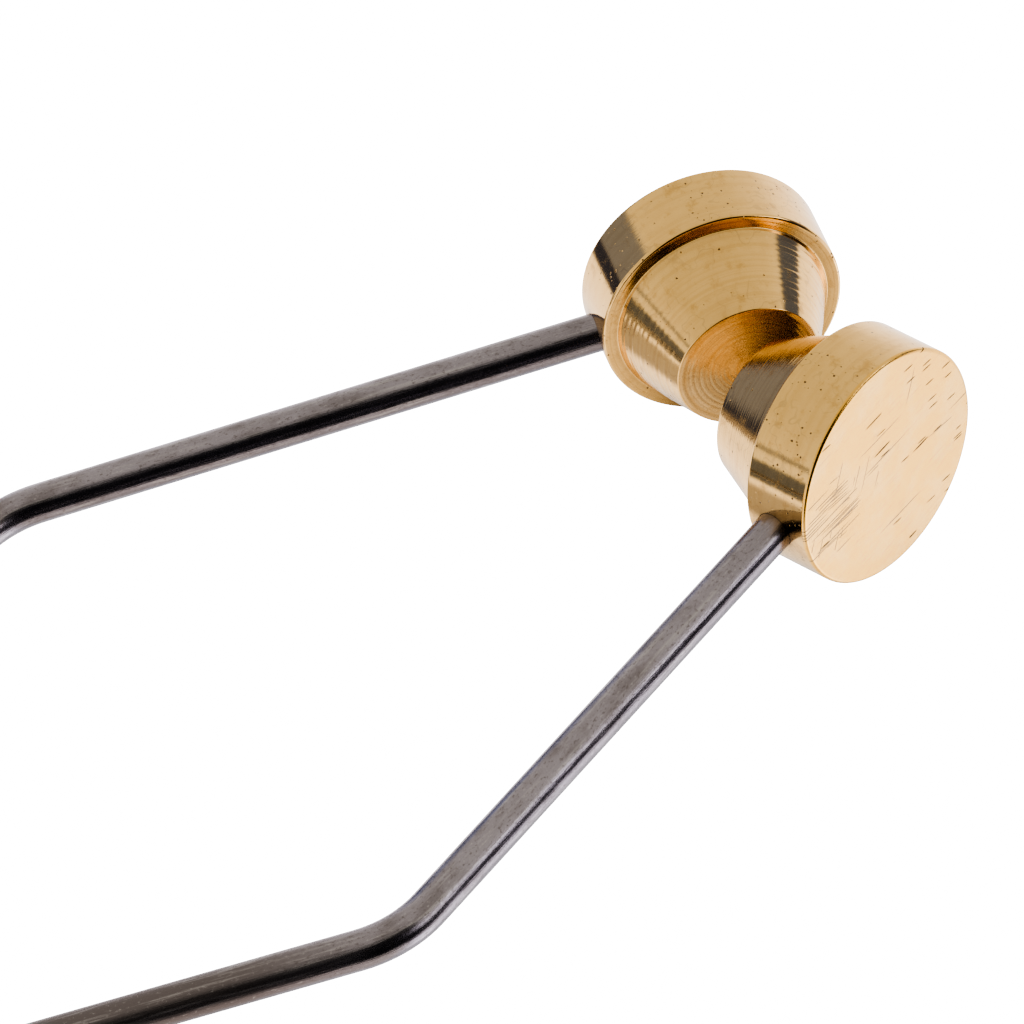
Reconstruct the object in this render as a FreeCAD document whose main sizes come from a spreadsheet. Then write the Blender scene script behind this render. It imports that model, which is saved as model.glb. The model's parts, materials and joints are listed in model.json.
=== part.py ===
import FreeCAD, Part
import math
import os

import Sketcher
from FreeCAD import Rotation, Vector

# Fly-tying bobbin holder: two spring-wire arms, each with a turned brass foot, held in a brass
# head that carries the thread tube.  Millimetres, +Z up, +Y from the tube towards the feet.
# The tool lies flat: the arms' plane is one rim radius above z = 0, and the origin is the middle
# of that flat footprint.  Right is +X.

DRIVING = {
    # whole tool
    "overall_length": 120.0,
    "wire_dia": 1.6,
    # foot: a disc with a tapered hub, turned about one axis; lengths run from the wire's centre
    "rim_radius": 5.0,
    "rim_outward": 1.95,
    "rim_inward": 1.05,
    "cone_base_radius": 4.4,
    "cone_tip_radius": 2.95,
    "cone_length": 3.33,
    "edge_chamfer": 0.12,
    "foot_centre_x": 5.37,
    "foot_tilt": 15.7,
    # arm: straight from the foot to the knee, then straight back in to the head
    "arm_splay": 19.1,
    "right_knee_distance": 28.85,
    "left_knee_distance": 30.0,
    "knee_radius": 4.7,
    "wire_stop": 1.2,
    "arm_stagger": 0.73,
    # root of the arm: parallel bore in the head, a small bend, and the spring's bending centre
    "bore_offset": 3.2,
    "root_distance": 57.9,
    "root_radius": 5.0,
    "mouth_distance": 59.6,
    "wire_socket": 7.0,
    "pivot_run": 9.0,
    "pivot_clearance": 0.02,
    "pivot_trim": 0.4,
    # head
    "head_length": 15.0,
    "barrel_length": 8.6,
    "nose_base_radius": 4.4,
    "nose_tip_radius": 2.6,
    "grip_groove_depth": 0.3,
    "grip_groove_width": 0.6,
    "grip_groove_pitch": 1.6,
    "grip_groove_start": 2.6,
    "head_chamfer": 0.3,
    # thread tube and its two ceramic inserts
    "tube_radius": 1.5,
    "tube_bore_radius": 1.0,
    "thread_bore_radius": 0.5,
    "insert_sleeve": 3.0,
    "tip_flange": 1.1,
    "tip_flange_radius": 1.45,
    "throat_flange": 0.8,
    "throat_flange_radius": 1.95,
    "flange_round": 0.35,
    "mouth_round": 0.35,
}

# Expressions used by more than one piece.
FEET_Y = (
    "Dims.overall_length / 2 - Dims.arm_stagger"
    " - (Dims.rim_outward - Dims.edge_chamfer) * sin(Dims.foot_tilt)"
    " - Dims.rim_radius * cos(Dims.foot_tilt)"
)
MOUTH_Y = f"{FEET_Y} - Dims.mouth_distance"
doc = FreeCAD.newDocument("bobbin_holder")
sheet = doc.addObject("Spreadsheet::Sheet", "Dims")
for row, (alias, value) in enumerate(DRIVING.items(), start=1):
    sheet.set(f"A{row}", alias)
    sheet.set(f"B{row}", str(value))
    sheet.setAlias(f"B{row}", alias)
doc.recompute()


def value_of(expression):
    """The number that an expression on the sheet gives now."""
    return float(sheet.evalExpression(expression))


class ArmLine:
    """Expressions for one wire's line, measured from the foot's centre with the arm on +X."""

    def __init__(self, side):
        reach = f"Dims.{side}_knee_distance"
        self.setback = " - Dims.arm_stagger" if side == "left" else ""
        self.knee_x = f"Dims.foot_centre_x + {reach} * sin(Dims.arm_splay)"
        self.knee_y = f"-{reach} * cos(Dims.arm_splay)"
        self.root_y = f"-Dims.root_distance{self.setback}"
        self.slope = f"({self.knee_x} - Dims.bore_offset) / ({self.knee_y} - ({self.root_y}))"
        self.pivot_y = f"Dims.pivot_run - Dims.mouth_distance{self.setback}"
        pivot_rise = "(Dims.pivot_run - Dims.mouth_distance + Dims.root_distance)"
        self.pivot_x = f"Dims.bore_offset + {pivot_rise} * {self.slope}"


def new_body(label):
    body = doc.addObject("PartDesign::Body", label)
    body.Label = label
    return body


def sketch_on(body, name, role):
    """A sketch on one of the body's own origin planes."""
    sketch = body.newObject("Sketcher::SketchObject", name)
    plane = next(f for f in body.Origin.OriginFeatures if f.Role == role)
    sketch.AttachmentSupport = [(plane, "")]
    sketch.MapMode = "FlatFace"
    return sketch


def pin_point(sketch, geometry, vertex, x, y):
    """Hold one vertex at the place two expressions give, measured from the sketch's origin."""
    for kind, axis_line, expression in (("DistanceX", -2, x), ("DistanceY", -1, y)):
        if expression == "0":
            sketch.addConstraint(
                Sketcher.Constraint("PointOnObject", geometry, vertex, axis_line)
            )
            continue
        index = sketch.addConstraint(
            Sketcher.Constraint(kind, -1, 1, geometry, vertex, value_of(expression))
        )
        sketch.setExpression(f"Constraints[{index}]", expression)


def add_polygon(sketch, corners):
    """A closed outline whose corners are pairs of expressions."""
    points = [Vector(value_of(x), value_of(y), 0) for x, y in corners]
    first = sketch.GeometryCount
    count = len(points)
    for i in range(count):
        sketch.addGeometry(Part.LineSegment(points[i], points[(i + 1) % count]))
    for i in range(count):
        following = first + (i + 1) % count
        sketch.addConstraint(Sketcher.Constraint("Coincident", first + i, 2, following, 1))
    for i, (x, y) in enumerate(corners):
        pin_point(sketch, first + i, 1, x, y)


def add_circle(sketch, x, y, radius):
    """A circle with its centre and radius given by expressions."""
    centre = Vector(value_of(x), value_of(y), 0)
    index = sketch.addGeometry(Part.Circle(centre, Vector(0, 0, 1), value_of(radius)))
    pin_point(sketch, index, 3, x, y)
    size = sketch.addConstraint(Sketcher.Constraint("Radius", index, value_of(radius)))
    sketch.setExpression(f"Constraints[{size}]", radius)


def add_bent_path(sketch, start, corner, end, radius):
    """Two straight runs joined by a tangent arc of the given radius inside the corner."""
    a, b, c = [Vector(value_of(x), value_of(y), 0) for x, y in (start, corner, end)]
    r = value_of(radius)
    back = (a - b).normalize()
    ahead = (c - b).normalize()
    half = back.getAngle(ahead) / 2
    p = b + back * (r / math.tan(half))
    q = b + ahead * (r / math.tan(half))
    centre = b + (back + ahead).normalize() * (r / math.sin(half))
    middle = centre + (b - centre).normalize() * r
    first = sketch.addGeometry(Part.LineSegment(a, p))
    arc = sketch.addGeometry(Part.Arc(p, middle, q))
    last = sketch.addGeometry(Part.LineSegment(q, c))
    runs_forward = sketch.getPoint(arc, 1).distanceToPoint(p) < 1e-6
    near, far = (1, 2) if runs_forward else (2, 1)
    sketch.addConstraint(Sketcher.Constraint("Tangent", first, 2, arc, near))
    sketch.addConstraint(Sketcher.Constraint("Tangent", arc, far, last, 1))
    size = sketch.addConstraint(Sketcher.Constraint("Radius", arc, r))
    sketch.setExpression(f"Constraints[{size}]", radius)
    knee = sketch.addGeometry(Part.Point(b))
    sketch.toggleConstruction(knee)
    pin_point(sketch, knee, 1, *corner)
    sketch.addConstraint(Sketcher.Constraint("PointOnObject", knee, 1, first))
    sketch.addConstraint(Sketcher.Constraint("PointOnObject", knee, 1, last))
    pin_point(sketch, first, 1, *start)
    pin_point(sketch, last, 2, *end)


def revolve(body, sketch, axis, cut=False):
    """Turn a sketch once round one of its axes, adding or cutting."""
    before = 0.0 if not cut else body.Shape.Volume
    kind = "PartDesign::Groove" if cut else "PartDesign::Revolution"
    feature = body.newObject(kind, f"{sketch.Name}_turned")
    feature.Profile = sketch
    feature.ReferenceAxis = (sketch, [axis])
    feature.Angle = 360
    sketch.Visibility = False
    doc.recompute()
    if cut and body.Shape.Volume >= before - 1e-6:
        raise RuntimeError(f"{feature.Name} cuts nothing")
    return feature


def pocket(body, sketch, depth, reverse):
    """Cut a sketch into the body; depth is an expression, or None to go through everything."""
    before = body.Shape.Volume
    feature = body.newObject("PartDesign::Pocket", f"{sketch.Name}_cut")
    feature.Profile = sketch
    feature.Reversed = reverse
    if depth is None:
        feature.Type = "ThroughAll"
    else:
        feature.setExpression("Length", depth)
    doc.recompute()
    if body.Shape.Volume >= before - 1e-6:
        raise RuntimeError(f"{feature.Name} cuts nothing")
    return feature


def ring_edges(shape, rings):
    """Names of the circular edges at given distances along an axis and given radii."""
    names = []
    for i, edge in enumerate(shape.Edges, start=1):
        if not isinstance(edge.Curve, Part.Circle):
            continue
        for axis, along, radius in rings:
            close = abs(edge.Curve.Center.dot(axis) - along) < 1e-3
            if close and abs(edge.Curve.Radius - radius) < 1e-3:
                names.append(f"Edge{i}")
    return names


def dress(body, kind, rings, size_property, expression):
    """Chamfer or fillet the ring edges of a turned body."""
    base = body.Tip
    names = ring_edges(base.Shape, rings)
    if len(names) < len(rings):
        raise RuntimeError(f"{body.Label}: ring edge missing")
    feature = body.newObject(kind, f"{body.Name}_{kind.split('::')[1]}")
    feature.Base = (base, names)
    feature.setExpression(size_property, expression)
    doc.recompute()
    return feature


def place(piece, x, y, turn="0", flip=False):
    """Put a piece on the arms' plane; flip turns it half round the tool's axis."""
    height = value_of("Dims.rim_radius")
    turned = Rotation(Vector(0, 0, 1), value_of(turn))
    half_turn = Rotation(Vector(0, 1, 0), 180 if flip else 0)
    piece.Placement = FreeCAD.Placement(
        Vector(value_of(x), value_of(y), height), half_turn.multiply(turned)
    )
    piece.setExpression("Placement.Base.x", x)
    piece.setExpression("Placement.Base.y", y)
    piece.setExpression("Placement.Base.z", "Dims.rim_radius")


def make_foot(label, flip):
    """Brass foot turned about its local X axis, +X outwards, with the wire's blind hole."""
    body = new_body(label)
    outline = sketch_on(body, f"{label}_outline", "XY_Plane")
    hub_end = "-Dims.rim_inward - Dims.cone_length"
    add_polygon(
        outline,
        [
            ("Dims.rim_outward", "0"),
            ("Dims.rim_outward", "Dims.rim_radius"),
            ("-Dims.rim_inward", "Dims.rim_radius"),
            ("-Dims.rim_inward", "Dims.cone_base_radius"),
            (hub_end, "Dims.cone_tip_radius"),
            (hub_end, "0"),
        ],
    )
    revolve(body, outline, "H_Axis")
    along = Vector(1, 0, 0)
    rim = value_of("Dims.rim_radius")
    rings = [
        (along, value_of("Dims.rim_outward"), rim),
        (along, value_of("-Dims.rim_inward"), rim),
        (along, value_of(hub_end), value_of("Dims.cone_tip_radius")),
    ]
    dress(body, "PartDesign::Chamfer", rings, "Size", "Dims.edge_chamfer")

    # The hole is drilled in along the wire, so it leans from square by the angle between them.
    hole = sketch_on(body, f"{label}_wire_hole", "XY_Plane")
    lean = value_of("Dims.arm_splay - Dims.foot_tilt")
    hole.AttachmentOffset = FreeCAD.Placement(Vector(), Rotation(Vector(0, 0, 1), lean))
    hole.setExpression(
        "AttachmentOffset.Rotation.Angle", "(Dims.arm_splay - Dims.foot_tilt) * 1 deg"
    )
    add_polygon(
        hole,
        [
            ("0", "-Dims.rim_radius - 1"),
            ("Dims.wire_dia / 2", "-Dims.rim_radius - 1"),
            ("Dims.wire_dia / 2", "-Dims.wire_stop"),
            ("0", "-Dims.wire_stop"),
        ],
    )
    revolve(body, hole, "V_Axis", cut=True)
    side = "-" if flip else ""
    shift = " + Dims.arm_stagger" if flip else ""
    place(body, f"{side}Dims.foot_centre_x", f"{FEET_Y}{shift}", turn="Dims.foot_tilt", flip=flip)
    return body


def add_wire(body, name, start, corner, end, radius):
    """Round wire along a bent path in the body's XY plane."""
    path = sketch_on(body, f"{name}_path", "XY_Plane")
    add_bent_path(path, start, corner, end, radius)
    doc.recompute()
    section = body.newObject("Sketcher::SketchObject", f"{name}_section")
    section.AttachmentSupport = [(path, "Edge1")]
    section.MapMode = "NormalToEdge"
    add_circle(section, "0", "0", "Dims.wire_dia / 2")
    doc.recompute()
    wire = body.newObject("PartDesign::AdditivePipe", f"{name}_wire")
    wire.Profile = section
    wire.Spine = (path, ["Edge1", "Edge2", "Edge3"])
    doc.recompute()
    return wire


def half_disc(sketch, radius):
    """A half disc against the sketch's horizontal axis, which turns into a ball."""
    r = value_of(radius)
    arc = sketch.addGeometry(
        Part.ArcOfCircle(Part.Circle(Vector(), Vector(0, 0, 1), r), 0, math.pi)
    )
    chord = sketch.addGeometry(Part.LineSegment(Vector(-r, 0, 0), Vector(r, 0, 0)))
    sketch.addConstraint(Sketcher.Constraint("Coincident", arc, 2, chord, 1))
    sketch.addConstraint(Sketcher.Constraint("Coincident", arc, 1, chord, 2))
    sketch.addConstraint(Sketcher.Constraint("Coincident", arc, 3, -1, 1))
    sketch.addConstraint(Sketcher.Constraint("Horizontal", chord))
    size = sketch.addConstraint(Sketcher.Constraint("Radius", arc, r))
    sketch.setExpression(f"Constraints[{size}]", radius)


def pivot_sketch(body, name, line):
    """A sketch whose origin is the arm's bending centre, turned to run along the wire."""
    sketch = sketch_on(body, name, "XY_Plane")
    heading = 90 - math.degrees(math.atan(value_of(line.slope)))
    sketch.AttachmentOffset = FreeCAD.Placement(
        Vector(value_of(line.pivot_x), value_of(line.pivot_y), 0),
        Rotation(Vector(0, 0, 1), heading),
    )
    sketch.setExpression("AttachmentOffset.Base.x", line.pivot_x)
    sketch.setExpression("AttachmentOffset.Base.y", line.pivot_y)
    sketch.setExpression("AttachmentOffset.Rotation.Angle", f"90 deg - atan({line.slope})")
    return sketch


def make_arm(label, flip, line):
    """The free length of spring wire, from its bending centre round the knee to the foot."""
    body = new_body(label)
    foot_end = (
        "Dims.foot_centre_x + Dims.wire_stop * sin(Dims.arm_splay)",
        "-Dims.wire_stop * cos(Dims.arm_splay)",
    )
    knee = (line.knee_x, line.knee_y)
    add_wire(body, label, foot_end, knee, (line.pivot_x, line.pivot_y), "Dims.knee_radius")
    ball = pivot_sketch(body, f"{label}_ball", line)
    half_disc(ball, "Dims.wire_dia / 2")
    revolve(body, ball, "H_Axis")
    shift = " + Dims.arm_stagger" if flip else ""
    place(body, "0", f"{FEET_Y}{shift}", flip=flip)
    return body


def make_arm_root(label, flip, line):
    """The fixed length of the same wire: in the head's bore, round a small bend, to a cup."""
    body = new_body(label)
    bore_end = ("Dims.bore_offset", f"-Dims.mouth_distance - Dims.wire_socket{line.setback}")
    bend = ("Dims.bore_offset", line.root_y)
    cup_end = (
        f"{line.pivot_x} - Dims.pivot_trim * sin(atan({line.slope}))",
        f"{line.pivot_y} - Dims.pivot_trim * cos(atan({line.slope}))",
    )
    add_wire(body, label, bore_end, bend, cup_end, "Dims.root_radius")
    cup = pivot_sketch(body, f"{label}_cup", line)
    half_disc(cup, "Dims.wire_dia / 2 + Dims.pivot_clearance")
    revolve(body, cup, "H_Axis", cut=True)
    shift = " + Dims.arm_stagger" if flip else ""
    place(body, "0", f"{FEET_Y}{shift}", flip=flip)
    return body


def make_head():
    """Brass head turned about Y: barrel with grip grooves, step, tapered nose, three bores."""
    body = new_body("head")
    corners = [
        ("0", "0"),
        ("Dims.rim_radius", "0"),
    ]
    for ring in range(2):
        near = f"-Dims.grip_groove_start - {ring} * Dims.grip_groove_pitch"
        far = f"{near} - Dims.grip_groove_width"
        floor = "Dims.rim_radius - Dims.grip_groove_depth"
        corners += [
            ("Dims.rim_radius", near),
            (floor, near),
            (floor, far),
            ("Dims.rim_radius", far),
        ]
    corners += [
        ("Dims.rim_radius", "-Dims.barrel_length"),
        ("Dims.nose_base_radius", "-Dims.barrel_length"),
        ("Dims.nose_tip_radius", "-Dims.head_length"),
        ("0", "-Dims.head_length"),
    ]
    outline = sketch_on(body, "head_outline", "XY_Plane")
    add_polygon(outline, corners)
    revolve(body, outline, "V_Axis")
    along = Vector(0, 1, 0)
    barrel = value_of("Dims.rim_radius")
    rings = [
        (along, 0.0, barrel),
        (along, value_of("-Dims.barrel_length"), barrel),
        (along, value_of("-Dims.head_length"), value_of("Dims.nose_tip_radius")),
    ]
    dress(body, "PartDesign::Chamfer", rings, "Size", "Dims.head_chamfer")

    tube_bore = sketch_on(body, "head_tube_bore", "XZ_Plane")
    add_circle(tube_bore, "0", "0", "Dims.tube_radius")
    pocket(body, tube_bore, None, reverse=True)
    wire_bores = sketch_on(body, "head_wire_bores", "XZ_Plane")
    for side in ("", "-"):
        add_circle(wire_bores, f"{side}Dims.bore_offset", "0", "Dims.wire_dia / 2")
    pocket(body, wire_bores, "Dims.wire_socket", reverse=True)
    place(body, "0", MOUTH_Y)
    return body


def make_tube():
    """Steel thread tube, from the head's mouth to the tip insert."""
    body = new_body("thread_tube")
    length = f"({MOUTH_Y}) + Dims.overall_length / 2 - Dims.tip_flange"
    outline = sketch_on(body, "tube_outline", "XY_Plane")
    add_polygon(
        outline,
        [
            ("Dims.tube_bore_radius", "0"),
            ("Dims.tube_radius", "0"),
            ("Dims.tube_radius", f"-({length})"),
            ("Dims.tube_bore_radius", f"-({length})"),
        ],
    )
    revolve(body, outline, "V_Axis")
    place(body, "0", MOUTH_Y)
    return body


def make_insert(label, flange, flange_radius, y, flip):
    """Ceramic eyelet: a sleeve inside the tube and a rounded flange against the tube's end."""
    body = new_body(label)
    outline = sketch_on(body, f"{label}_outline", "XY_Plane")
    add_polygon(
        outline,
        [
            ("Dims.thread_bore_radius", flange),
            (flange_radius, flange),
            (flange_radius, "0"),
            ("Dims.tube_bore_radius", "0"),
            ("Dims.tube_bore_radius", "-Dims.insert_sleeve"),
            ("Dims.thread_bore_radius", "-Dims.insert_sleeve"),
        ],
    )
    revolve(body, outline, "V_Axis")
    along = Vector(0, 1, 0)
    face = value_of(flange)
    outer = [(along, face, value_of(flange_radius))]
    dress(body, "PartDesign::Fillet", outer, "Radius", "Dims.flange_round")
    inner = [(along, face, value_of("Dims.thread_bore_radius"))]
    dress(body, "PartDesign::Fillet", inner, "Radius", "Dims.mouth_round")
    place(body, "0", y, turn="180" if flip else "0")
    return body


def make_pieces():
    pieces = [make_head(), make_tube()]
    tube_end = "Dims.tip_flange - Dims.overall_length / 2"
    pieces.append(
        make_insert("tip_insert", "Dims.tip_flange", "Dims.tip_flange_radius", tube_end, True)
    )
    pieces.append(
        make_insert(
            "throat_insert", "Dims.throat_flange", "Dims.throat_flange_radius", MOUTH_Y, False
        )
    )
    for side, flip in (("right", False), ("left", True)):
        line = ArmLine(side)
        pieces.append(make_arm_root(f"{side}_arm_root", flip, line))
        pieces.append(make_arm(f"{side}_arm", flip, line))
        pieces.append(make_foot(f"{side}_foot", flip))
    return pieces


def check(pieces):
    doc.recompute()
    for item in doc.Objects:
        if "Invalid" in item.State or "Error" in item.State:
            raise RuntimeError(f"{item.Name} failed: {item.State}")
    for piece in pieces:
        shape = piece.Shape
        if shape.isNull() or not shape.isValid() or len(shape.Solids) != 1:
            raise RuntimeError(f"{piece.Label} is not one valid solid")


def write(pieces):
    os.makedirs("parts", exist_ok=True)
    for piece in pieces:
        piece.Shape.exportStep(f"parts/{piece.Label}.step")
        box = piece.Shape.BoundBox
        print(
            f"{piece.Label:16s} volume {piece.Shape.Volume:8.2f} mm3"
            f"  x {box.XMin:7.2f} {box.XMax:7.2f}"
            f"  y {box.YMin:7.2f} {box.YMax:7.2f}"
            f"  z {box.ZMin:5.2f} {box.ZMax:5.2f}"
        )


all_pieces = make_pieces()
check(all_pieces)
write(all_pieces)
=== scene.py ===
import json
import math
import random

import bmesh
import bpy
from mathutils import Matrix, Vector, noise


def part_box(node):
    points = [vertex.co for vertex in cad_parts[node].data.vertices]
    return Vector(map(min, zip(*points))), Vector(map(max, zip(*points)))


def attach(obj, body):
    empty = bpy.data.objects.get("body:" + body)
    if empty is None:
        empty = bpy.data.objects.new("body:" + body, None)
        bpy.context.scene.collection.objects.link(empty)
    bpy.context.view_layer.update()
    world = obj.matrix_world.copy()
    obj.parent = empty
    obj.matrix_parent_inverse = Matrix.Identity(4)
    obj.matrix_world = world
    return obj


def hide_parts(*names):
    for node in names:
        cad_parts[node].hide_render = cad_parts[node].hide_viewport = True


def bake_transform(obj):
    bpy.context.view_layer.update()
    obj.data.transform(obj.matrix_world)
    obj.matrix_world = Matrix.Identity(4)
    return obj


# Fly-tying bobbin holder: two spring-wire arms with turned brass feet, a brass head, a steel
# thread tube and two ceramic inserts.  Sizes below are in millimetres.
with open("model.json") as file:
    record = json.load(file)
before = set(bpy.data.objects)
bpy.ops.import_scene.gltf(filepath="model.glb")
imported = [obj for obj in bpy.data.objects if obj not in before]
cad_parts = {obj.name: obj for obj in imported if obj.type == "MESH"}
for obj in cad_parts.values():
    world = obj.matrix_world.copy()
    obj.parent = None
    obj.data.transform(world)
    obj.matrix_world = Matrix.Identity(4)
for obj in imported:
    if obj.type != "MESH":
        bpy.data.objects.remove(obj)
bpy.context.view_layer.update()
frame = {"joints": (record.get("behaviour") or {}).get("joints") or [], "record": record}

MM = 0.001
FULL_TURN = 2 * math.pi
UP = Vector((0, 0, 1))

# Arms.  The wire's end and its knee are measured from the foot's centre, the socket from the
# head's mouth, and the spring's run either way from the hinge.
WIRE_DIA = 1.6
WIRE_CLEARANCE = 0.012
WIRE_STOP = 1.2
WIRE_STEP = 0.6
HOLE_SPARE = 0.05
HOLE_OVERRUN = 1.5
ARM_SPLAY = math.radians(19.1)
KNEE_DISTANCE = {"right": 28.85, "left": 30.0}
KNEE_RADIUS = 4.7
BORE_OFFSET = 3.2
ROOT_RADIUS = 5.0
WIRE_SOCKET = 7.0

# Feet.  The rim is a disc; the cone tapers from it towards the other foot.
RIM_RADIUS = 5.0
RIM_OUTWARD = 1.95
RIM_INWARD = 1.05
CONE_BASE = 4.4
CONE_TIP = 2.95
CONE_LENGTH = 3.33
FACE_ROUND = 0.14
RIM_ROUND = 0.12
CONE_ROUND = 0.05
HUB_ROUND = 0.08

# Head, thread tube and inserts.
BARREL_LENGTH = 8.6
HEAD_LENGTH = 15.0
NOSE_BASE = 4.4
NOSE_TIP = 2.6
GRIP_START = 2.6
GRIP_PITCH = 1.6
GRIP_WIDTH = 0.6
GRIP_DEPTH = 0.3
GRIP_EDGE = 0.06
GRIP_FLOOR = 0.1
TUBE_RADIUS = 1.5
TUBE_CLEARANCE = 0.02
TUBE_BORE = 1.0
THREAD_BORE = 0.5
INSERT_SLEEVE = 3.0
TIP_FLANGE = 1.1
TIP_FLANGE_RADIUS = 1.45
THROAT_FLANGE = 0.8
THROAT_FLANGE_RADIUS = 1.95

# Mesh fineness, and how much one turning mark differs from the next in width and depth.
SEGMENTS = 224
SMALL_SEGMENTS = 96
WIRE_SEGMENTS = 48
ROUND_STEPS = 5
MARK_STEPS = 5
MARK_WIDTHS = (0.8, 1.2)
MARK_DEPTHS = (0.4, 1.5)
MARK_WANDER = 0.5
SUPPORT = 0.03
TINY = 1e-5

mounts = {m["name"]: m for m in frame["record"]["mounts"]}
joints = {j["name"]: j for j in frame["joints"]}


# ---------------------------------------------------------------------------------- meshes


def outline(corners, marks=(), closed=False, seed=1):
    """Points of a turned outline, each (place, side, normal, mark depth).

    A place is (along, radius), and corners are (along, radius, edge round).  marks gives, for a
    side's number, the pitch and depth of its turning marks.
    """
    marks = dict(marks)
    rng = random.Random(seed)
    count = len(corners)
    places = [Vector((x, r)) for x, r, _ in corners]
    turns = []
    for i in range(count):
        here = places[i]
        if not closed and i in (0, count - 1):
            turns.append([here])
            continue
        back = (places[i - 1] - here).normalized()
        ahead = (places[(i + 1) % count] - here).normalized()
        size = corners[i][2]
        if size == 0:
            turns.append([here])
            continue
        half = back.angle(ahead) / 2
        start = here + back * size / math.tan(half)
        end = here + ahead * size / math.tan(half)
        centre = here + (back + ahead).normalized() * size / math.sin(half)
        arc = []
        for k in range(ROUND_STEPS + 1):
            spoke = (start - centre).slerp(end - centre, k / ROUND_STEPS)
            arc.append(centre + spoke * size)
        turns.append(arc)
    points = []
    sides = count if closed else count - 1
    for side in range(sides):
        a = turns[side][-1]
        b = turns[(side + 1) % count][0]
        run = b - a
        length = run.length
        normal = Vector((-run.y, run.x)) / length
        support = min(SUPPORT, length / 4)
        stations = [(0.0, 0.0), (support, 0.0)]
        if side in marks:
            pitch, depth = marks[side]
            at = support
            while at + pitch < length - support:
                width = pitch * rng.uniform(*MARK_WIDTHS)
                deep = depth * rng.uniform(*MARK_DEPTHS)
                for k in range(1, MARK_STEPS + 1):
                    part = k / MARK_STEPS
                    stations.append((at + part * width, deep * (1 - (2 * part - 1) ** 2)))
                at += width
        if stations[-1][0] < length - 1.5 * support:
            stations.append((length - support, 0.0))
        stations.append((length, 0.0))
        for along, deep in stations:
            points.append((a + run * along / length, side, normal, deep))
        for p in turns[(side + 1) % count][1:-1]:
            points.append((p, side, normal, 0.0))
    kept = []
    for point in points:
        if kept and (point[0] - kept[-1][0]).length < TINY:
            continue
        kept.append(point)
    return kept


def lathe(name, points, closed=False, finishes=(), segments=SEGMENTS):
    """A solid turned round its own X axis.  finishes gives a side's material number."""
    finishes = dict(finishes)
    mesh = bmesh.new()
    rings = []
    for place, _, normal, deep in points:
        if place.y < TINY:
            rings.append([mesh.verts.new((place.x * MM, 0, 0))])
            continue
        ring = []
        for k in range(segments):
            turn = FULL_TURN * k / segments
            shift = 0.0
            if deep:
                where = Vector((math.cos(turn), math.sin(turn), place.x * 2 + place.y))
                shift = deep * (1 + MARK_WANDER * noise.noise(where * 2.2))
            x = place.x - normal.x * shift
            r = place.y - normal.y * shift
            ring.append(mesh.verts.new((x * MM, r * math.cos(turn) * MM, r * math.sin(turn) * MM)))
        rings.append(ring)
    pairs = len(rings) if closed else len(rings) - 1
    for i in range(pairs):
        a = rings[i]
        b = rings[(i + 1) % len(rings)]
        side = points[i][1]
        for k in range(segments):
            following = (k + 1) % segments
            if len(a) == 1:
                corners = (a[0], b[k], b[following])
            elif len(b) == 1:
                corners = (a[k], b[0], a[following])
            else:
                corners = (a[k], b[k], b[following], a[following])
            face = mesh.faces.new(corners)
            face.smooth = True
            face.material_index = finishes.get(side, 0)
    bmesh.ops.recalc_face_normals(mesh, faces=mesh.faces)
    return new_object(name, mesh)


def new_object(name, mesh):
    data = bpy.data.meshes.new(name)
    mesh.to_mesh(data)
    mesh.free()
    piece = bpy.data.objects.new(name, data)
    bpy.context.scene.collection.objects.link(piece)
    return piece


def bent_path(start, corners, end, step):
    """Points along straight runs and tangent arcs in the XY plane; corners are (point, radius)."""
    stops = [start]
    for i, (corner, radius) in enumerate(corners):
        following = corners[i + 1][0] if i + 1 < len(corners) else end
        before = corners[i - 1][0] if i else start
        back = (before - corner).normalized()
        ahead = (following - corner).normalized()
        half = back.angle(ahead) / 2
        first = corner + back * radius / math.tan(half)
        last = corner + ahead * radius / math.tan(half)
        centre = corner + (back + ahead).normalized() * radius / math.sin(half)
        bend = math.pi - 2 * half
        count = max(6, math.ceil(radius * bend / (step / 2)))
        stops.append(first)
        for k in range(1, count):
            spoke = (first - centre).slerp(last - centre, k / count)
            stops.append(centre + spoke * radius)
        stops.append(last)
    stops.append(end)
    points = [stops[0]]
    for a, b in zip(stops, stops[1:]):
        count = max(1, round((b - a).length / step))
        for k in range(1, count + 1):
            points.append(a.lerp(b, k / count))
    return points


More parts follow.
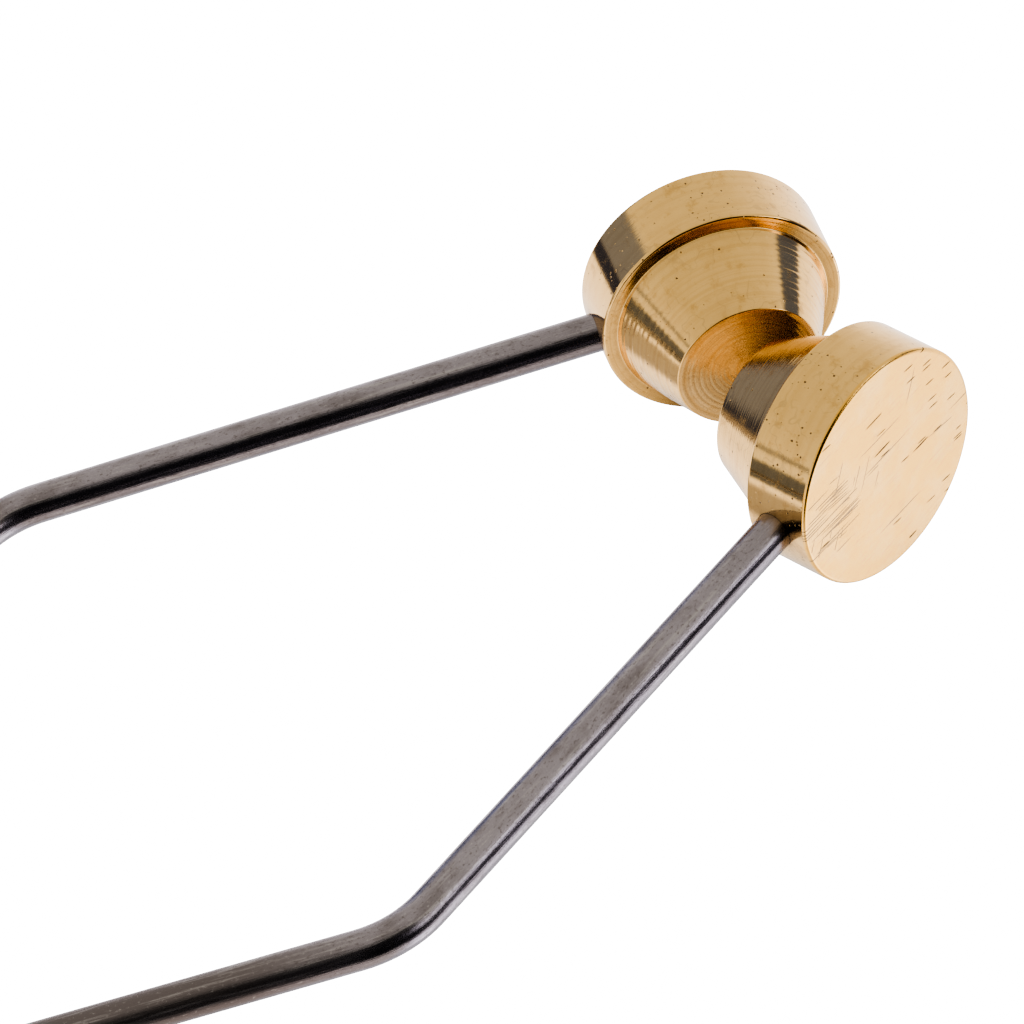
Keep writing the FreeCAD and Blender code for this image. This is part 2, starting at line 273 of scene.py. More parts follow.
def wire_mesh(name, path, radius, height, segments=WIRE_SEGMENTS):
    """Round wire along a path in a level plane, with its lay stored for the drawn grain.

    The lay is a point attribute in millimetres: x and y across the wire, z along it.
    """
    mesh = bmesh.new()
    lay = mesh.verts.layers.float_vector.new("wire_lay")
    rings = []
    along = 0.0
    for i, centre in enumerate(path):
        ahead = path[min(i + 1, len(path) - 1)]
        back = path[max(i - 1, 0)]
        heading = (ahead - back).normalized()
        side = Vector((heading.y, -heading.x))
        if i:
            along += (centre - path[i - 1]).length
        ring = []
        for k in range(segments):
            turn = FULL_TURN * k / segments
            across = side * radius * math.cos(turn)
            level = centre + across
            spot = Vector((level.x, level.y, height + radius * math.sin(turn)))
            vertex = mesh.verts.new(spot * MM)
            vertex[lay] = (radius * math.cos(turn), radius * math.sin(turn), along)
            ring.append(vertex)
        rings.append(ring)
    for a, b in zip(rings, rings[1:]):
        for k in range(segments):
            following = (k + 1) % segments
            face = mesh.faces.new((a[k], a[following], b[following], b[k]))
            face.smooth = True
    for ring in (rings[0], rings[-1]):
        middle = sum((v.co for v in ring), Vector()) / segments
        hub = mesh.verts.new(middle)
        hub[lay] = (0, 0, ring[0][lay].z)
        for k in range(segments):
            mesh.faces.new((ring[k], ring[(k + 1) % segments], hub))
    bmesh.ops.recalc_face_normals(mesh, faces=mesh.faces)
    piece = new_object(name, mesh)
    piece.data.set_sharp_from_angle(angle=math.radians(40))
    return piece


def cut(piece, cutters):
    """Cut holes into a piece, then keep only the result."""
    for cutter in cutters:
        change = piece.modifiers.new("hole", "BOOLEAN")
        change.operation = "DIFFERENCE"
        change.solver = "EXACT"
        change.object = cutter
    bpy.context.view_layer.update()
    graph = bpy.context.evaluated_depsgraph_get()
    solid = bpy.data.meshes.new_from_object(piece.evaluated_get(graph))
    piece.modifiers.clear()
    piece.data = solid
    for cutter in cutters:
        bpy.data.objects.remove(cutter)
    piece.data.set_sharp_from_angle(angle=math.radians(35))


def stand(piece, axis, place):
    """Put a turned piece with its X axis along axis and its own origin at place, in metres."""
    x = Vector(axis).normalized()
    y = UP.cross(x)
    turned = Matrix((x, y, UP)).transposed().to_4x4()
    piece.matrix_world = Matrix.Translation(place) @ turned


# ------------------------------------------------------------------------------- materials


class Graph:
    """A node tree built by small steps; values are numbers, tuples or output sockets."""

    def __init__(self, tree):
        self.tree = tree

    def feed(self, socket, value):
        if isinstance(value, bpy.types.NodeSocket):
            self.tree.links.new(value, socket)
        else:
            socket.default_value = value

    def add(self, kind, inputs=(), **settings):
        node = self.tree.nodes.new(kind)
        for key, value in settings.items():
            setattr(node, key, value)
        for key, value in dict(inputs).items():
            self.feed(node.inputs[key], value)
        return node

    def math(self, operation, *values):
        node = self.add("ShaderNodeMath", operation=operation)
        for i, value in enumerate(values):
            self.feed(node.inputs[i], value)
        return node.outputs[0]

    def times(self, a, b):
        return self.math("MULTIPLY", a, b)

    def either(self, a, b):
        return self.math("MAXIMUM", a, b)

    def scaled(self, vector, factor):
        node = self.add("ShaderNodeVectorMath", operation="SCALE")
        self.feed(node.inputs[0], vector)
        self.feed(node.inputs["Scale"], factor)
        return node.outputs[0]

    def mapped(self, vector, turn, size):
        """The vector turned by Euler angles, then scaled."""
        turned = self.add("ShaderNodeMapping", {"Vector": vector, "Rotation": turn})
        sized = self.add("ShaderNodeMapping", {"Vector": turned.outputs[0], "Scale": size})
        return sized.outputs[0]

    def step(self, value, low, high, start=0.0, end=1.0):
        """A smooth step from start to end as the value goes from low to high."""
        node = self.add(
            "ShaderNodeMapRange",
            {"Value": value, "From Min": low, "From Max": high, "To Min": start, "To Max": end},
            interpolation_type="SMOOTHSTEP",
        )
        return node.outputs[0]

    def noise(self, vector, scale, detail=2.0, rough=0.5):
        node = self.add(
            "ShaderNodeTexNoise",
            {"Vector": vector, "Scale": scale, "Detail": detail, "Roughness": rough},
        )
        return node.outputs[0]

    def noise_along(self, value, scale):
        """Noise that changes only with one number."""
        node = self.add(
            "ShaderNodeTexNoise",
            {"W": value, "Scale": scale, "Detail": 3.0},
            noise_dimensions="1D",
        )
        return node.outputs[0]

    def mix(self, factor, a, b):
        node = self.add("ShaderNodeMix", data_type="RGBA")
        self.feed(node.inputs[0], factor)
        self.feed(node.inputs[6], a)
        self.feed(node.inputs[7], b)
        return node.outputs[2]

    def bump(self, height, depth, normal=None):
        """A bump whose full height is depth millimetres."""
        node = self.add("ShaderNodeBump", {"Height": height, "Distance": depth * MM})
        if normal is not None:
            self.feed(node.inputs["Normal"], normal)
        return node.outputs[0]


def metal(name):
    """A new fully metallic material, its node graph and its shader."""
    material = bpy.data.materials.new(name)
    material.use_nodes = True
    graph = Graph(material.node_tree)
    shader = material.node_tree.nodes["Principled BSDF"]
    shader.inputs["Metallic"].default_value = 1.0
    return material, graph, shader


def own_place(graph):
    """The piece's own coordinates in millimetres."""
    coordinate = graph.add("ShaderNodeTexCoord")
    return graph.scaled(coordinate.outputs["Object"], 1 / MM)


def hairlines(graph, plane, heading, along, across, width):
    """Fine straight grinding lines at heading in a plane: 1 in the middle of a line."""
    grain = graph.mapped(plane, (0, 0, heading), (1 / along, 1 / across, 1.0))
    value = graph.noise(grain, 1.0, 1.0)
    off = graph.math("ABSOLUTE", graph.math("SUBTRACT", value, 0.5))
    return graph.step(off, 0.0, width, 1.0, 0.0)


def chance_of(graph, cells, channel=0):
    """A random number from 0 to 1 for each cell."""
    return graph.add("ShaderNodeSeparateColor", {"Color": cells.outputs["Color"]}).outputs[channel]


def scratches(graph, plane, heading, along, across, share):
    """Scattered straight scratches with pointed ends, at heading in a plane: 1 in a scratch."""
    grain = graph.mapped(plane, (0, 0, heading), (1 / along, 1 / across, 1.0))
    cells = graph.add("ShaderNodeTexVoronoi", {"Vector": grain}, voronoi_dimensions="2D")
    graph.feed(cells.inputs["Scale"], 1.0)
    inside = graph.step(cells.outputs["Distance"], 0.18, 0.3, 1.0, 0.0)
    chosen = graph.math("LESS_THAN", chance_of(graph, cells), share)
    return graph.times(inside, chosen)


def pits(graph, place, per_mm, size, share):
    """Scattered small ragged pits of mixed sizes, in loose clusters: 1 in a pit."""
    ragged = graph.add(
        "ShaderNodeTexNoise", {"Vector": place, "Scale": 2.2 * per_mm, "Detail": 2.0}
    )
    shift = graph.scaled(ragged.outputs["Color"], 0.35 / per_mm)
    moved = graph.add("ShaderNodeVectorMath", {0: place, 1: shift}, operation="ADD").outputs[0]
    cells = graph.add("ShaderNodeTexVoronoi", {"Vector": moved, "Scale": per_mm})
    reach = graph.math("MULTIPLY_ADD", chance_of(graph, cells, 1), size, size * 0.35)
    inside = graph.math("SUBTRACT", 1.0, graph.math("DIVIDE", cells.outputs["Distance"], reach))
    crowd = graph.step(graph.noise(place, 0.3 * per_mm, 1.0), 0.42, 0.64, 0.12, 2.0)
    chosen = graph.math("LESS_THAN", chance_of(graph, cells), graph.times(crowd, share))
    return graph.times(graph.step(inside, 0.0, 0.5), chosen)


def veins(graph, place, per_mm, width):
    """Thin wandering cracks in the surface film, in patches: 1 in the middle of a crack."""
    wander = graph.noise(place, per_mm, 2.0, 0.5)
    off = graph.math("ABSOLUTE", graph.math("SUBTRACT", wander, 0.5))
    thin = graph.step(off, width * 0.2, width, 1.0, 0.0)
    patch = graph.step(graph.noise(place, 0.6 * per_mm, 1.0), 0.42, 0.62)
    return graph.times(thin, patch)


BRASS = (0.916, 0.62, 0.26, 1.0)
BRASS_PALE = (0.93, 0.70, 0.36, 1.0)
BRASS_LAPPED = (0.95, 0.57, 0.16, 1.0)
BRASS_DULL = (0.62, 0.37, 0.13, 1.0)
# Base of the hub ends: partly a duller finish, partly painted shade.
BRASS_HUB_DULL_AND_SHADE = (0.80, 0.58, 0.30, 1.0)
BRASS_SCORED = (0.30, 0.22, 0.14, 1.0)
# Dark brown of pits; also the colour of the painted shade in corners.
BRASS_PIT_AND_SHADE = (0.085, 0.055, 0.04, 1.0)
BRASS_GOUGE = (0.035, 0.027, 0.024, 1.0)

# Where handling has rubbed the feet's outer faces, in the face's plane.
RUBBED_PLACE = (-3.0, 0.1, 0.0)
RUBBED_NEAR, RUBBED_FAR = 0.6, 2.7
SCRATCHED_FROM, SCRATCHED_TO = 0.2, 1.8


def polished_brass(name, roughness, tarnish, pit_share, marks, base=BRASS):
    """Turned and polished brass: fine turning lines, mottling, cracks, pits, and painted shade in
    corners.
    """
    material, graph, shader = metal(name)
    place = own_place(graph)
    split = graph.add("ShaderNodeSeparateXYZ", {"Vector": place})
    across = graph.add(
        "ShaderNodeCombineXYZ", {"Y": split.outputs["Y"], "Z": split.outputs["Z"]}
    )
    radius = graph.add("ShaderNodeVectorMath", {0: across.outputs[0]}, operation="LENGTH")
    outward = graph.times(radius.outputs["Value"], 1.7)
    ring = graph.math("ADD", split.outputs["X"], outward)
    line = graph.noise_along(ring, 14.0)
    band = graph.noise_along(ring, 2.6)
    cloud = graph.noise(place, 0.9, 3.0, 0.6)
    speck = graph.noise(place, 7.0, 3.0, 0.7)
    blotch = graph.step(cloud, 0.35, 0.75)
    dull = graph.times(blotch, tarnish)
    colour = graph.mix(dull, base, BRASS_DULL)
    ringed = graph.step(band, 0.42, 0.66, 0.0, tarnish)
    colour = graph.mix(ringed, colour, BRASS_DULL)
    pale = graph.step(speck, 0.55, 0.8, 0.0, 0.35)
    colour = graph.mix(pale, colour, BRASS_PALE)
    crazed = veins(graph, place, 0.75, 0.014)
    colour = graph.mix(graph.times(crazed, 0.22), colour, BRASS_SCORED)
    stain = graph.step(graph.noise(place, 1.7, 4.0, 0.65), 0.54, 0.72, 0.0, 0.5)
    colour = graph.mix(stain, colour, BRASS_DULL)
    pit = pits(graph, place, 4.0, 0.20, pit_share)
    colour = graph.mix(graph.times(pit, 0.85), colour, BRASS_PIT_AND_SHADE)
    # Painted shade: ambient occlusion darkens the colour towards pit brown in corners and
    # recesses.
    corner = graph.add("ShaderNodeAmbientOcclusion", {"Distance": 2.4 * MM}, samples=5)
    painted_corner_shade = graph.step(corner.outputs["AO"], 0.3, 0.9, 0.93, 0.0)
    colour = graph.mix(painted_corner_shade, colour, BRASS_PIT_AND_SHADE)
    graph.feed(shader.inputs["Base Color"], colour)
    rough = graph.math("MULTIPLY_ADD", speck, 0.07, roughness - 0.035)
    rough = graph.math("MULTIPLY_ADD", graph.either(pit, stain), 0.2, rough)
    graph.feed(shader.inputs["Roughness"], rough)
    normal = graph.bump(line, marks)
    normal = graph.bump(cloud, 0.004, normal)
    normal = graph.bump(graph.times(pit, -1.0), 0.02, normal)
    graph.feed(shader.inputs["Normal"], normal)
    return material


def lapped_brass(name):
    """The feet's flat outer faces: rubbed flat, with straight scratches nearly all one way."""
    material, graph, shader = metal(name)
    place = own_place(graph)
    split = graph.add("ShaderNodeSeparateXYZ", {"Vector": place})
    across, up = split.outputs["Y"], split.outputs["Z"]
    plane = graph.add("ShaderNodeCombineXYZ", {"X": across, "Y": up}).outputs[0]
    fine = hairlines(graph, plane, math.radians(3), 3.4, 0.04, 0.12)
    stray = hairlines(graph, plane, math.radians(-7), 2.6, 0.09, 0.02)

    worn_side = graph.step(across, SCRATCHED_FROM, SCRATCHED_TO, 0.008, 0.05)
    deep = scratches(graph, plane, math.radians(-4), 1.9, 0.16, worn_side)
    often = graph.times(worn_side, 1.6)
    short = scratches(graph, plane, math.radians(2), 1.0, 0.11, often)
    off_patch = graph.add(
        "ShaderNodeVectorMath", {0: plane, 1: RUBBED_PLACE}, operation="DISTANCE"
    )
    rubbed = graph.step(off_patch.outputs["Value"], RUBBED_NEAR, RUBBED_FAR, 0.6, 0.012)
    long = scratches(graph, plane, math.radians(-3), 5.0, 0.10, rubbed)
    strokes = scratches(graph, plane, math.radians(4), 3.2, 0.09, graph.times(rubbed, 0.5))
    skew = scratches(graph, plane, math.radians(-58), 3.4, 0.08, graph.times(rubbed, 0.3))
    soft = graph.either(graph.either(long, strokes), skew)
    dark = graph.either(deep, short)

    cloud = graph.noise(place, 0.6, 3.0, 0.6)
    speck = graph.noise(place, 9.0, 2.0, 0.6)
    pit = pits(graph, place, 2.4, 0.11, 0.2)
    colour = graph.mix(graph.step(cloud, 0.4, 0.65, 0.0, 0.3), BRASS_LAPPED, BRASS_PALE)
    colour = graph.mix(graph.times(soft, 0.95), colour, BRASS_SCORED)
    colour = graph.mix(graph.times(stray, 0.3), colour, BRASS_SCORED)
    colour = graph.mix(graph.either(dark, pit), colour, BRASS_GOUGE)
    graph.feed(shader.inputs["Base Color"], colour)
    rough = graph.math("MULTIPLY_ADD", fine, 0.05, 0.17)
    rough = graph.math("MULTIPLY_ADD", speck, 0.04, rough)
    rough = graph.math("MULTIPLY_ADD", soft, 0.1, rough)
    graph.feed(shader.inputs["Roughness"], rough)
    normal = graph.bump(fine, 0.0006)
    normal = graph.bump(graph.times(soft, -1.0), 0.003, normal)
    normal = graph.bump(graph.times(dark, -1.0), 0.012, normal)
    graph.feed(shader.inputs["Normal"], normal)
    return material


STEEL = (0.385, 0.36, 0.41, 1.0)
# Dark steel of specks and dull patches; also the colour of the painted shade along the wire.
STEEL_DARK_AND_SHADE = (0.20, 0.178, 0.185, 1.0)
# Colour of the painted shade on the wires' lower halves.
STEEL_PAINTED_UNDERSIDE_SHADE = (0.20, 0.19, 0.22, 1.0)
STEEL_BRIGHT = (0.56, 0.54, 0.56, 1.0)
TUBE_STEEL = (0.66, 0.65, 0.64, 1.0)
TUBE_STEEL_DULL = (0.56, 0.55, 0.55, 1.0)
ALUMINA = (0.93, 0.92, 0.88, 1.0)
ALUMINA_SHADE = (0.86, 0.84, 0.79, 1.0)
ALUMINA_IOR = 1.76

# Millimetres along a wire between which the painted shade and added roughness by the head end, and
# the painted shade by the foot begins.
ROOT_SHADE_AND_ROUGH_ENDS = (34.0, 43.0)
FOOT_PAINTED_SHADE_STARTS = (56.0, 70.0)
UNTURNED = (0, 0, 0)


def drawn_steel(name):
    """Spring wire as drawn: satin, with streaks along it, dull patches, fine specks, and painted
    shade on its lower half and towards both ends.
    """
    material, graph, shader = metal(name)
    lay = graph.add("ShaderNodeAttribute", attribute_name="wire_lay").outputs["Vector"]
    streak = graph.noise(graph.mapped(lay, UNTURNED, (6.0, 6.0, 0.3)), 1.0, 4.0, 0.6)
    hair = graph.noise(graph.mapped(lay, UNTURNED, (22.0, 22.0, 0.9)), 1.0, 2.0, 0.5)
    cloud = graph.noise(graph.mapped(lay, UNTURNED, (1.2, 1.2, 0.5)), 1.0, 3.0, 0.6)
    speck = graph.noise(graph.mapped(lay, UNTURNED, (9.0, 9.0, 5.0)), 1.0, 3.0, 0.7)
    split = graph.add("ShaderNodeSeparateXYZ", {"Vector": lay})
    # Painted shade: the wire darkens towards the head and towards the foot; dull also takes in
    # random dull patches.
    near_root = graph.step(split.outputs["Z"], *ROOT_SHADE_AND_ROUGH_ENDS, 1.0, 0.0)
    near_foot = graph.step(split.outputs["Z"], *FOOT_PAINTED_SHADE_STARTS, 0.0, 0.45)
    painted_shade_along = graph.either(near_root, near_foot)
    dull = graph.either(painted_shade_along, graph.step(cloud, 0.4, 0.68, 0.0, 0.6))
    colour = graph.mix(dull, STEEL, STEEL_DARK_AND_SHADE)
    # Painted shade: the lower half of the wire is darkened, except near the head.
    painted_underside_mask = graph.step(split.outputs["Y"], -0.25, 0.2, 0.85, 0.0)
    painted_underside_shade = graph.times(painted_underside_mask, graph.math("SUBTRACT", 1.0, near_root))
    colour = graph.mix(painted_underside_shade, colour, STEEL_PAINTED_UNDERSIDE_SHADE)
    colour = graph.mix(graph.step(streak, 0.5, 0.72, 0.0, 0.5), colour, STEEL_BRIGHT)
    colour = graph.mix(graph.step(speck, 0.55, 0.66, 0.0, 0.7), colour, STEEL_DARK_AND_SHADE)
    colour = graph.mix(graph.step(speck, 0.3, 0.42, 0.4, 0.0), colour, STEEL_BRIGHT)
    graph.feed(shader.inputs["Base Color"], colour)
    rough = graph.math("MULTIPLY_ADD", streak, 0.12, 0.12)
    rough = graph.math("MULTIPLY_ADD", speck, 0.1, rough)
    rough = graph.math("MULTIPLY_ADD", near_root, 0.1, rough)
    graph.feed(shader.inputs["Roughness"], rough)
    normal = graph.bump(streak, 0.010)
    normal = graph.bump(hair, 0.003, normal)
    normal = graph.bump(speck, 0.004, normal)
    graph.feed(shader.inputs["Normal"], normal)
    return material


def tube_steel(name):
    """Polished stainless tube with faint lengthwise polishing lines."""
    material, graph, shader = metal(name)
    place = own_place(graph)
    line = graph.noise(graph.mapped(place, UNTURNED, (0.25, 9.0, 9.0)), 1.0, 3.0, 0.6)
    cloud = graph.noise(place, 0.8, 3.0, 0.6)
    colour = graph.mix(graph.step(cloud, 0.3, 0.75), TUBE_STEEL, TUBE_STEEL_DULL)
    graph.feed(shader.inputs["Base Color"], colour)
    rough = graph.math("MULTIPLY_ADD", line, 0.14, 0.08)
    graph.feed(shader.inputs["Roughness"], rough)
    graph.feed(shader.inputs["Normal"], graph.bump(line, 0.004))
    return material


def ceramic(name):
    """White polished alumina."""
    material, graph, shader = metal(name)
    shader.inputs["Metallic"].default_value = 0.0
    shader.inputs["IOR"].default_value = ALUMINA_IOR
    place = own_place(graph)
    cloud = graph.noise(place, 2.5, 3.0, 0.6)
    grain = graph.noise(place, 30.0, 2.0, 0.5)
    colour = graph.mix(cloud, ALUMINA, ALUMINA_SHADE)
    graph.feed(shader.inputs["Base Color"], colour)
    rough = graph.math("MULTIPLY_ADD", cloud, 0.12, 0.1)
    graph.feed(shader.inputs["Roughness"], rough)
    graph.feed(shader.inputs["Normal"], graph.bump(grain, 0.001))
    return material


# ---------------------------------------------------------------------------------- pieces


# The sides of a foot's outline, in order from the outer face to the end of the hub.
FACE, RIM, STEP, CONE, HUB_END = range(5)


def foot_outline(seed, chatter):
    """The foot's turned outline; chatter is the pitch and depth of the marks on its cone."""
    hub_end = -RIM_INWARD - CONE_LENGTH
    corners = [
        (RIM_OUTWARD, 0, 0),
        (RIM_OUTWARD, RIM_RADIUS, FACE_ROUND),
        (-RIM_INWARD, RIM_RADIUS, RIM_ROUND),
        (-RIM_INWARD, CONE_BASE, CONE_ROUND),
        (hub_end, CONE_TIP, HUB_ROUND),
        (hub_end, 0, 0),
    ]
    marks = {STEP: (0.13, 0.0015), CONE: chatter, HUB_END: (0.21, 0.0065)}
    return outline(corners, marks, seed=seed)


def wire_line(side):
    """The wire's centreline in millimetres, from its end in the head to its end in the foot."""
    face = mounts[f"{side}_foot_face"]
    axis = Vector(face["axis"]).xy
    centre = Vector(face["pos_m"]).xy / MM - axis * RIM_OUTWARD
    hand = 1 if centre.x > 0 else -1
    pivot = Vector(joints[f"{side}_arm_spring"]["pos_m"]).xy / MM
    splay = Vector((hand * math.sin(ARM_SPLAY), -math.cos(ARM_SPLAY)))
    knee = centre + splay * KNEE_DISTANCE[side]
    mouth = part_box("head")[1].y / MM
    taper = (knee - pivot).normalized()
    root = pivot - taper * (abs(pivot.x) - BORE_OFFSET) / abs(taper.x)
    start = Vector((hand * BORE_OFFSET, mouth - WIRE_SOCKET))
    end = centre + splay * WIRE_STOP
    path = bent_path(start, [(root, ROOT_RADIUS), (knee, KNEE_RADIUS)], end, WIRE_STEP)
    return path, centre, axis, splay, pivot, taper


def make_arm_and_foot(side, finishes, steel, seed, chatter):
    """One wire, with its two bends, and the foot on its end.

    finishes are the foot's brass on its rim, face, turned inner sides and hub end.
    """
    height = RIM_RADIUS
    path, centre, axis, splay, pivot, taper = wire_line(side)
    wire = wire_mesh(f"{side}_wire", path, WIRE_DIA / 2, height)
    wire.data.materials.append(steel)
    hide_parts(f"{side}_arm_root", f"{side}_arm")
    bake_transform(wire)

    shape = foot_outline(seed, chatter)
    sides = {RIM: 0, FACE: 1, STEP: 2, CONE: 2, HUB_END: 3}
    foot = lathe(f"{side}_foot_turned", shape, finishes=sides)
    for finish in finishes:
        foot.data.materials.append(finish)
    stand(foot, (axis.x, axis.y, 0), Vector((centre.x, centre.y, height)) * MM)
    inner = centre + splay * (WIRE_STOP - HOLE_SPARE)
    outer = centre + splay * (RIM_RADIUS + HOLE_OVERRUN)
    hole = wire_mesh("hole", [inner, outer], WIRE_DIA / 2 + WIRE_CLEARANCE, height)
    cut(foot, [hole])
    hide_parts(f"{side}_foot")
    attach(foot, f"{side}_arm")


def make_head(rim, turned):
    """The barrel with two grip grooves, its nose, and the holes for both wires and the tube."""
    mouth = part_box("head")[1].y
    bore = TUBE_RADIUS + TUBE_CLEARANCE
    corners = [(0, bore, 0), (0, RIM_RADIUS, 0.3)]
    floor = RIM_RADIUS - GRIP_DEPTH
    for ring in range(2):
        near = GRIP_START + ring * GRIP_PITCH
        far = near + GRIP_WIDTH
        corners += [
            (near, RIM_RADIUS, GRIP_EDGE),
            (near, floor, GRIP_FLOOR),
            (far, floor, GRIP_FLOOR),
            (far, RIM_RADIUS, GRIP_EDGE),
        ]
    corners += [
        (BARREL_LENGTH, RIM_RADIUS, 0.2),
        (BARREL_LENGTH, NOSE_BASE, 0.08),
        (HEAD_LENGTH, NOSE_TIP, 0.2),
        (HEAD_LENGTH, bore, 0.05),
    ]
    # Sides of the outline, counted along its corners from the mouth.
    face, step, nose = 0, 10, 11
    marks = {face: (0.16, 0.003), step: (0.13, 0.0015), nose: (0.18, 0.002)}
    points = outline(corners, marks, closed=True, seed=5)
    head = lathe("head_turned", points, closed=True, finishes={face: 1, step: 1, nose: 1})
    head.data.materials.append(rim)
    head.data.materials.append(turned)
    stand(head, (0, -1, 0), Vector((0, mouth, RIM_RADIUS * MM)))
    holes = []
    for hand in (1, -1):
        inner = Vector((hand * BORE_OFFSET, mouth / MM - WIRE_SOCKET - HOLE_SPARE))
        outer = Vector((hand * BORE_OFFSET, mouth / MM + HOLE_OVERRUN))
        radius = WIRE_DIA / 2 + WIRE_CLEARANCE
        holes.append(wire_mesh("hole", [inner, outer], radius, RIM_RADIUS))
    cut(head, holes)
    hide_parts("head")
    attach(head, "head")


def make_tube(steel):
    """The thread tube, from inside the head to its own open end."""
    low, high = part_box("thread_tube")
    length = (high.y - low.y) / MM
    corners = [
        (0, TUBE_BORE, 0.05),
        (0, TUBE_RADIUS, 0.08),
        (length, TUBE_RADIUS, 0.12),
        (length, TUBE_BORE, 0.05),
    ]
    shape = outline(corners, closed=True)
    tube = lathe("thread_tube_polished", shape, closed=True, segments=SMALL_SEGMENTS)
    tube.data.materials.append(steel)
    stand(tube, (0, -1, 0), Vector((0, high.y, RIM_RADIUS * MM)))
    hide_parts("thread_tube")
    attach(tube, "head")


def make_insert(node, flange, flange_radius, heading, white):
    """A ceramic eyelet whose flange faces heading along Y."""
    low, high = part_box(node)
    face = high.y if heading > 0 else low.y
    corners = [
        (0, THREAD_BORE, 0.35),
        (0, flange_radius, 0.35),
        (-flange, flange_radius, 0.04),
        (-flange, TUBE_BORE, 0.04),
        (-flange - INSERT_SLEEVE, TUBE_BORE, 0.06),
        (-flange - INSERT_SLEEVE, THREAD_BORE, 0.1),
    ]
    shape = outline(corners, closed=True)
    insert = lathe(f"{node}_glazed", shape, closed=True, segments=SMALL_SEGMENTS)
    insert.data.materials.append(white)
    stand(insert, (0, heading, 0), Vector((0, face, RIM_RADIUS * MM)))
    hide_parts(node)
    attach(insert, "head")


rim_brass = polished_brass("brass_rim", roughness=0.09, tarnish=0.18, pit_share=0.6, marks=0.0012)
turned_brass = polished_brass(
    "brass_turned", roughness=0.12, tarnish=0.25, pit_share=0.18, marks=0.0015
)
# The hub end's darker base and heavier tarnish are partly a duller finish and partly painted shade
# for the shaded floor it reflects between the feet.
hub_end_brass = polished_brass(
    "brass_hub_end", roughness=0.18, tarnish=0.5, pit_share=0.06, marks=0.0015, base=BRASS_HUB_DULL_AND_SHADE
)
face_brass = lapped_brass("brass_lapped")
wire_steel = drawn_steel("steel_wire")
foot_finishes = (rim_brass, face_brass, turned_brass, hub_end_brass)
make_arm_and_foot("right", foot_finishes, wire_steel, seed=11, chatter=(0.15, 0.0018))
make_arm_and_foot("left", foot_finishes, wire_steel, seed=23, chatter=(0.27, 0.01))
make_head(rim_brass, turned_brass)
make_tube(tube_steel("steel_tube"))
alumina = ceramic("alumina")
make_insert("tip_insert", TIP_FLANGE, TIP_FLANGE_RADIUS, -1, alumina)
make_insert("throat_insert", THROAT_FLANGE, THROAT_FLANGE_RADIUS, 1, alumina)


# ------------------------------------------------------------------------ floor and lights


PAPER_WHITE = 6.0
PAPER_HALF_WIDTH = 1500.0
PAPER_GAP = 0.02
CONTACT_REACH = 22.0
# Colour of the painted shadow on the paper in reflections; its warmth is painted light bounced off
# the brass.
CONTACT_SHADOW_PAINT = (0.05, 0.03, 0.015, 1.0)
WHITE = (1.0, 1.0, 1.0, 1.0)


def make_floor():
    """White paper: bright to the camera, and in reflections a painted shadow, darker under and
    beside the pieces.
    """
    mesh = bmesh.new()
    bmesh.ops.create_grid(mesh, x_segments=1, y_segments=1, size=PAPER_HALF_WIDTH * MM)
    floor = new_object("floor", mesh)
    material = bpy.data.materials.new("white_paper")
    material.use_nodes = True
    material.node_tree.nodes.remove(material.node_tree.nodes["Principled BSDF"])
    graph = Graph(material.node_tree)
    # Painted shadow: in reflections the paper darkens to warm brown where the pieces close it in.
    open_sky = graph.add("ShaderNodeAmbientOcclusion", {"Distance": CONTACT_REACH * MM}, samples=6)
    lit = graph.step(open_sky.outputs["AO"], 0.10, 0.56)
    painted_contact_shadow = graph.mix(lit, CONTACT_SHADOW_PAINT, WHITE)
    through = graph.add("ShaderNodeBsdfTransparent", {"Color": painted_contact_shadow})
    paper = graph.add("ShaderNodeEmission", {"Color": WHITE, "Strength": PAPER_WHITE})
    path = graph.add("ShaderNodeLightPath")
    both = graph.add("ShaderNodeMixShader", {"Fac": path.outputs["Is Camera Ray"]})
    graph.feed(both.inputs[1], through.outputs[0])
    graph.feed(both.inputs[2], paper.outputs[0])
    graph.feed(material.node_tree.nodes["Material Output"].inputs["Surface"], both.outputs[0])
    floor.data.materials.append(material)
    floor.visible_diffuse = False
    floor.location.z = -PAPER_GAP * MM


def window(graph, value, span, softness):
    """1 within a span; softness gives the widths of its lower and upper edges."""
    (low, high), (low_soft, high_soft) = span, softness
    rise = graph.step(value, low - low_soft / 2, low + low_soft / 2)
    fall = graph.step(value, high - high_soft / 2, high + high_soft / 2, 1.0, 0.0)
    return graph.times(rise, fall)


# Soft light tent: brightness by height above the horizon, in degrees, and its warmth.
TENT = (
    (-90, 1.00, (1.0, 0.97, 1.00)),
    (-58, 1.10, (1.0, 0.96, 0.97)),
    (-38, 1.55, (1.0, 0.94, 0.95)),
    (-10, 1.30, (1.0, 0.94, 0.92)),
    (10, 0.90, (1.0, 0.94, 0.86)),
    (30, 0.72, (1.0, 0.935, 0.81)),
    (50, 0.66, (1.0, 0.935, 0.80)),
    (90, 0.62, (1.0, 0.93, 0.80)),
)

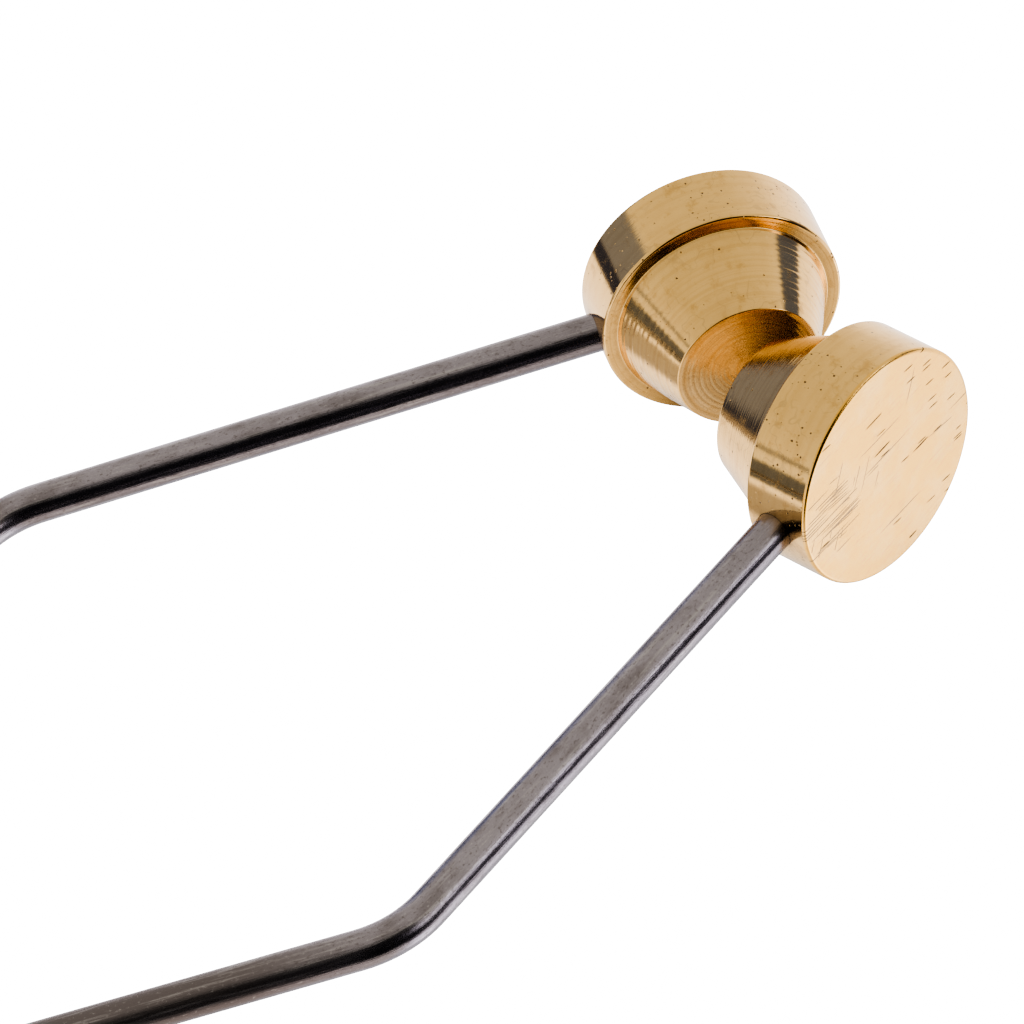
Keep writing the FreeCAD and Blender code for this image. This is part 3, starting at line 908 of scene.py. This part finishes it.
# Gaps, panels and dark edges of the tent: compass range, height range, softness of the compass
# edges, softness of the lower and upper edges, and the colour seen there.  Angles are degrees;
# compass 0 looks along +Y and 90 along +X.
GAPS = (
    ((34, 66), (-62, -37), 8, (8, 7), (2.7, 2.55, 2.58)),
    ((76, 142), (-80, -28), 12, (14, 8), (1.0, 0.88, 0.76)),
    ((62, 132), (-30, 57), 10, (12, 36), (0.012, 0.012, 0.015)),
    ((26, 68), (11, 20), 8, (3, 5), (2.2, 2.1, 2.15)),
    ((26, 68), (-20, 10), 8, (6, 4), (0.05, 0.045, 0.055)),
    ((-126, -80), (2, 27), 8, (2, 3), (0.228, 0.26, 0.40)),
    ((-128, -78), (-9, 2.5), 8, (3, 2), (0.05, 0.06, 0.13)),
    ((-178, -128), (-40, -13), 10, (10, 6), (0.50, 0.47, 0.48)),
    ((-170, -140), (-8, 8), 6, (3, 3), (0.15, 0.17, 0.24)),
    ((-170, -140), (16, 20), 6, (2, 2), (0.34, 0.34, 0.38)),
    ((-7, 23), (-7, 17), 8, (4, 5), (0.12, 0.15, 0.28)),
)


def make_tent():
    """The world: the tent's light in reflections, and plain white behind the object."""
    world = bpy.data.worlds.new("light_tent")
    bpy.context.scene.world = world
    world.use_nodes = True
    graph = Graph(world.node_tree)
    background = world.node_tree.nodes["Background"]
    coordinate = graph.add("ShaderNodeTexCoord")
    split = graph.add("ShaderNodeSeparateXYZ", {"Vector": coordinate.outputs["Generated"]})
    x, y, z = (split.outputs[axis] for axis in "XYZ")
    compass = graph.math("DEGREES", graph.math("ARCTAN2", x, y))
    height = graph.math("DEGREES", graph.math("ARCSINE", z))
    ramp = graph.add("ShaderNodeValToRGB", {"Fac": graph.step(height, -90.0, 90.0)})
    ramp.inputs["Fac"].links[0].from_node.interpolation_type = "LINEAR"
    stops = ramp.color_ramp.elements
    while len(stops) < len(TENT):
        stops.new(0.5)
    for stop, (at, level, tint) in zip(stops, TENT):
        stop.position = (at + 90) / 180
        stop.color = (*(level * part for part in tint), 1.0)
    light = ramp.outputs["Color"]
    for compass_range, height_range, side_soft, edge_soft, colour in GAPS:
        side = window(graph, compass, compass_range, (side_soft, side_soft))
        level = window(graph, height, height_range, edge_soft)
        light = graph.mix(graph.times(side, level), light, (*colour, 1.0))
    path = graph.add("ShaderNodeLightPath")
    seen = (PAPER_WHITE, PAPER_WHITE, PAPER_WHITE, 1.0)
    shown = graph.mix(path.outputs["Is Camera Ray"], light, seen)
    graph.feed(background.inputs["Color"], shown)


def make_camera():
    """The photograph's viewpoint: a long lens aimed near the feet, a little rolled.

    The azimuth turns from -Y towards +X.
    """
    aim = Vector((-0.00099, 0.042011, 0.005))
    azimuth, elevation, roll = (math.radians(a) for a in (67.615, 45.257, -14.752))
    distance = 0.359294
    level = math.cos(elevation)
    back = Vector((math.sin(azimuth) * level, -math.cos(azimuth) * level, math.sin(elevation)))
    right = Vector((math.cos(azimuth), math.sin(azimuth), 0))
    turned = Matrix((right, back.cross(right), back)).transposed()
    turned = turned @ Matrix.Rotation(roll, 3, "Z")
    data = bpy.data.cameras.new("camera")
    data.lens = 320.6
    data.sensor_width = 36.0
    data.clip_start = 0.01
    data.clip_end = 20.0
    camera = bpy.data.objects.new("camera", data)
    camera.matrix_world = Matrix.Translation(aim + back * distance) @ turned.to_4x4()
    bpy.context.scene.collection.objects.link(camera)
    bpy.context.scene.camera = camera


make_floor()
make_tent()
make_camera()
bpy.context.scene.view_settings.view_transform = "AgX"
bpy.context.scene.view_settings.look = "AgX - High Contrast"
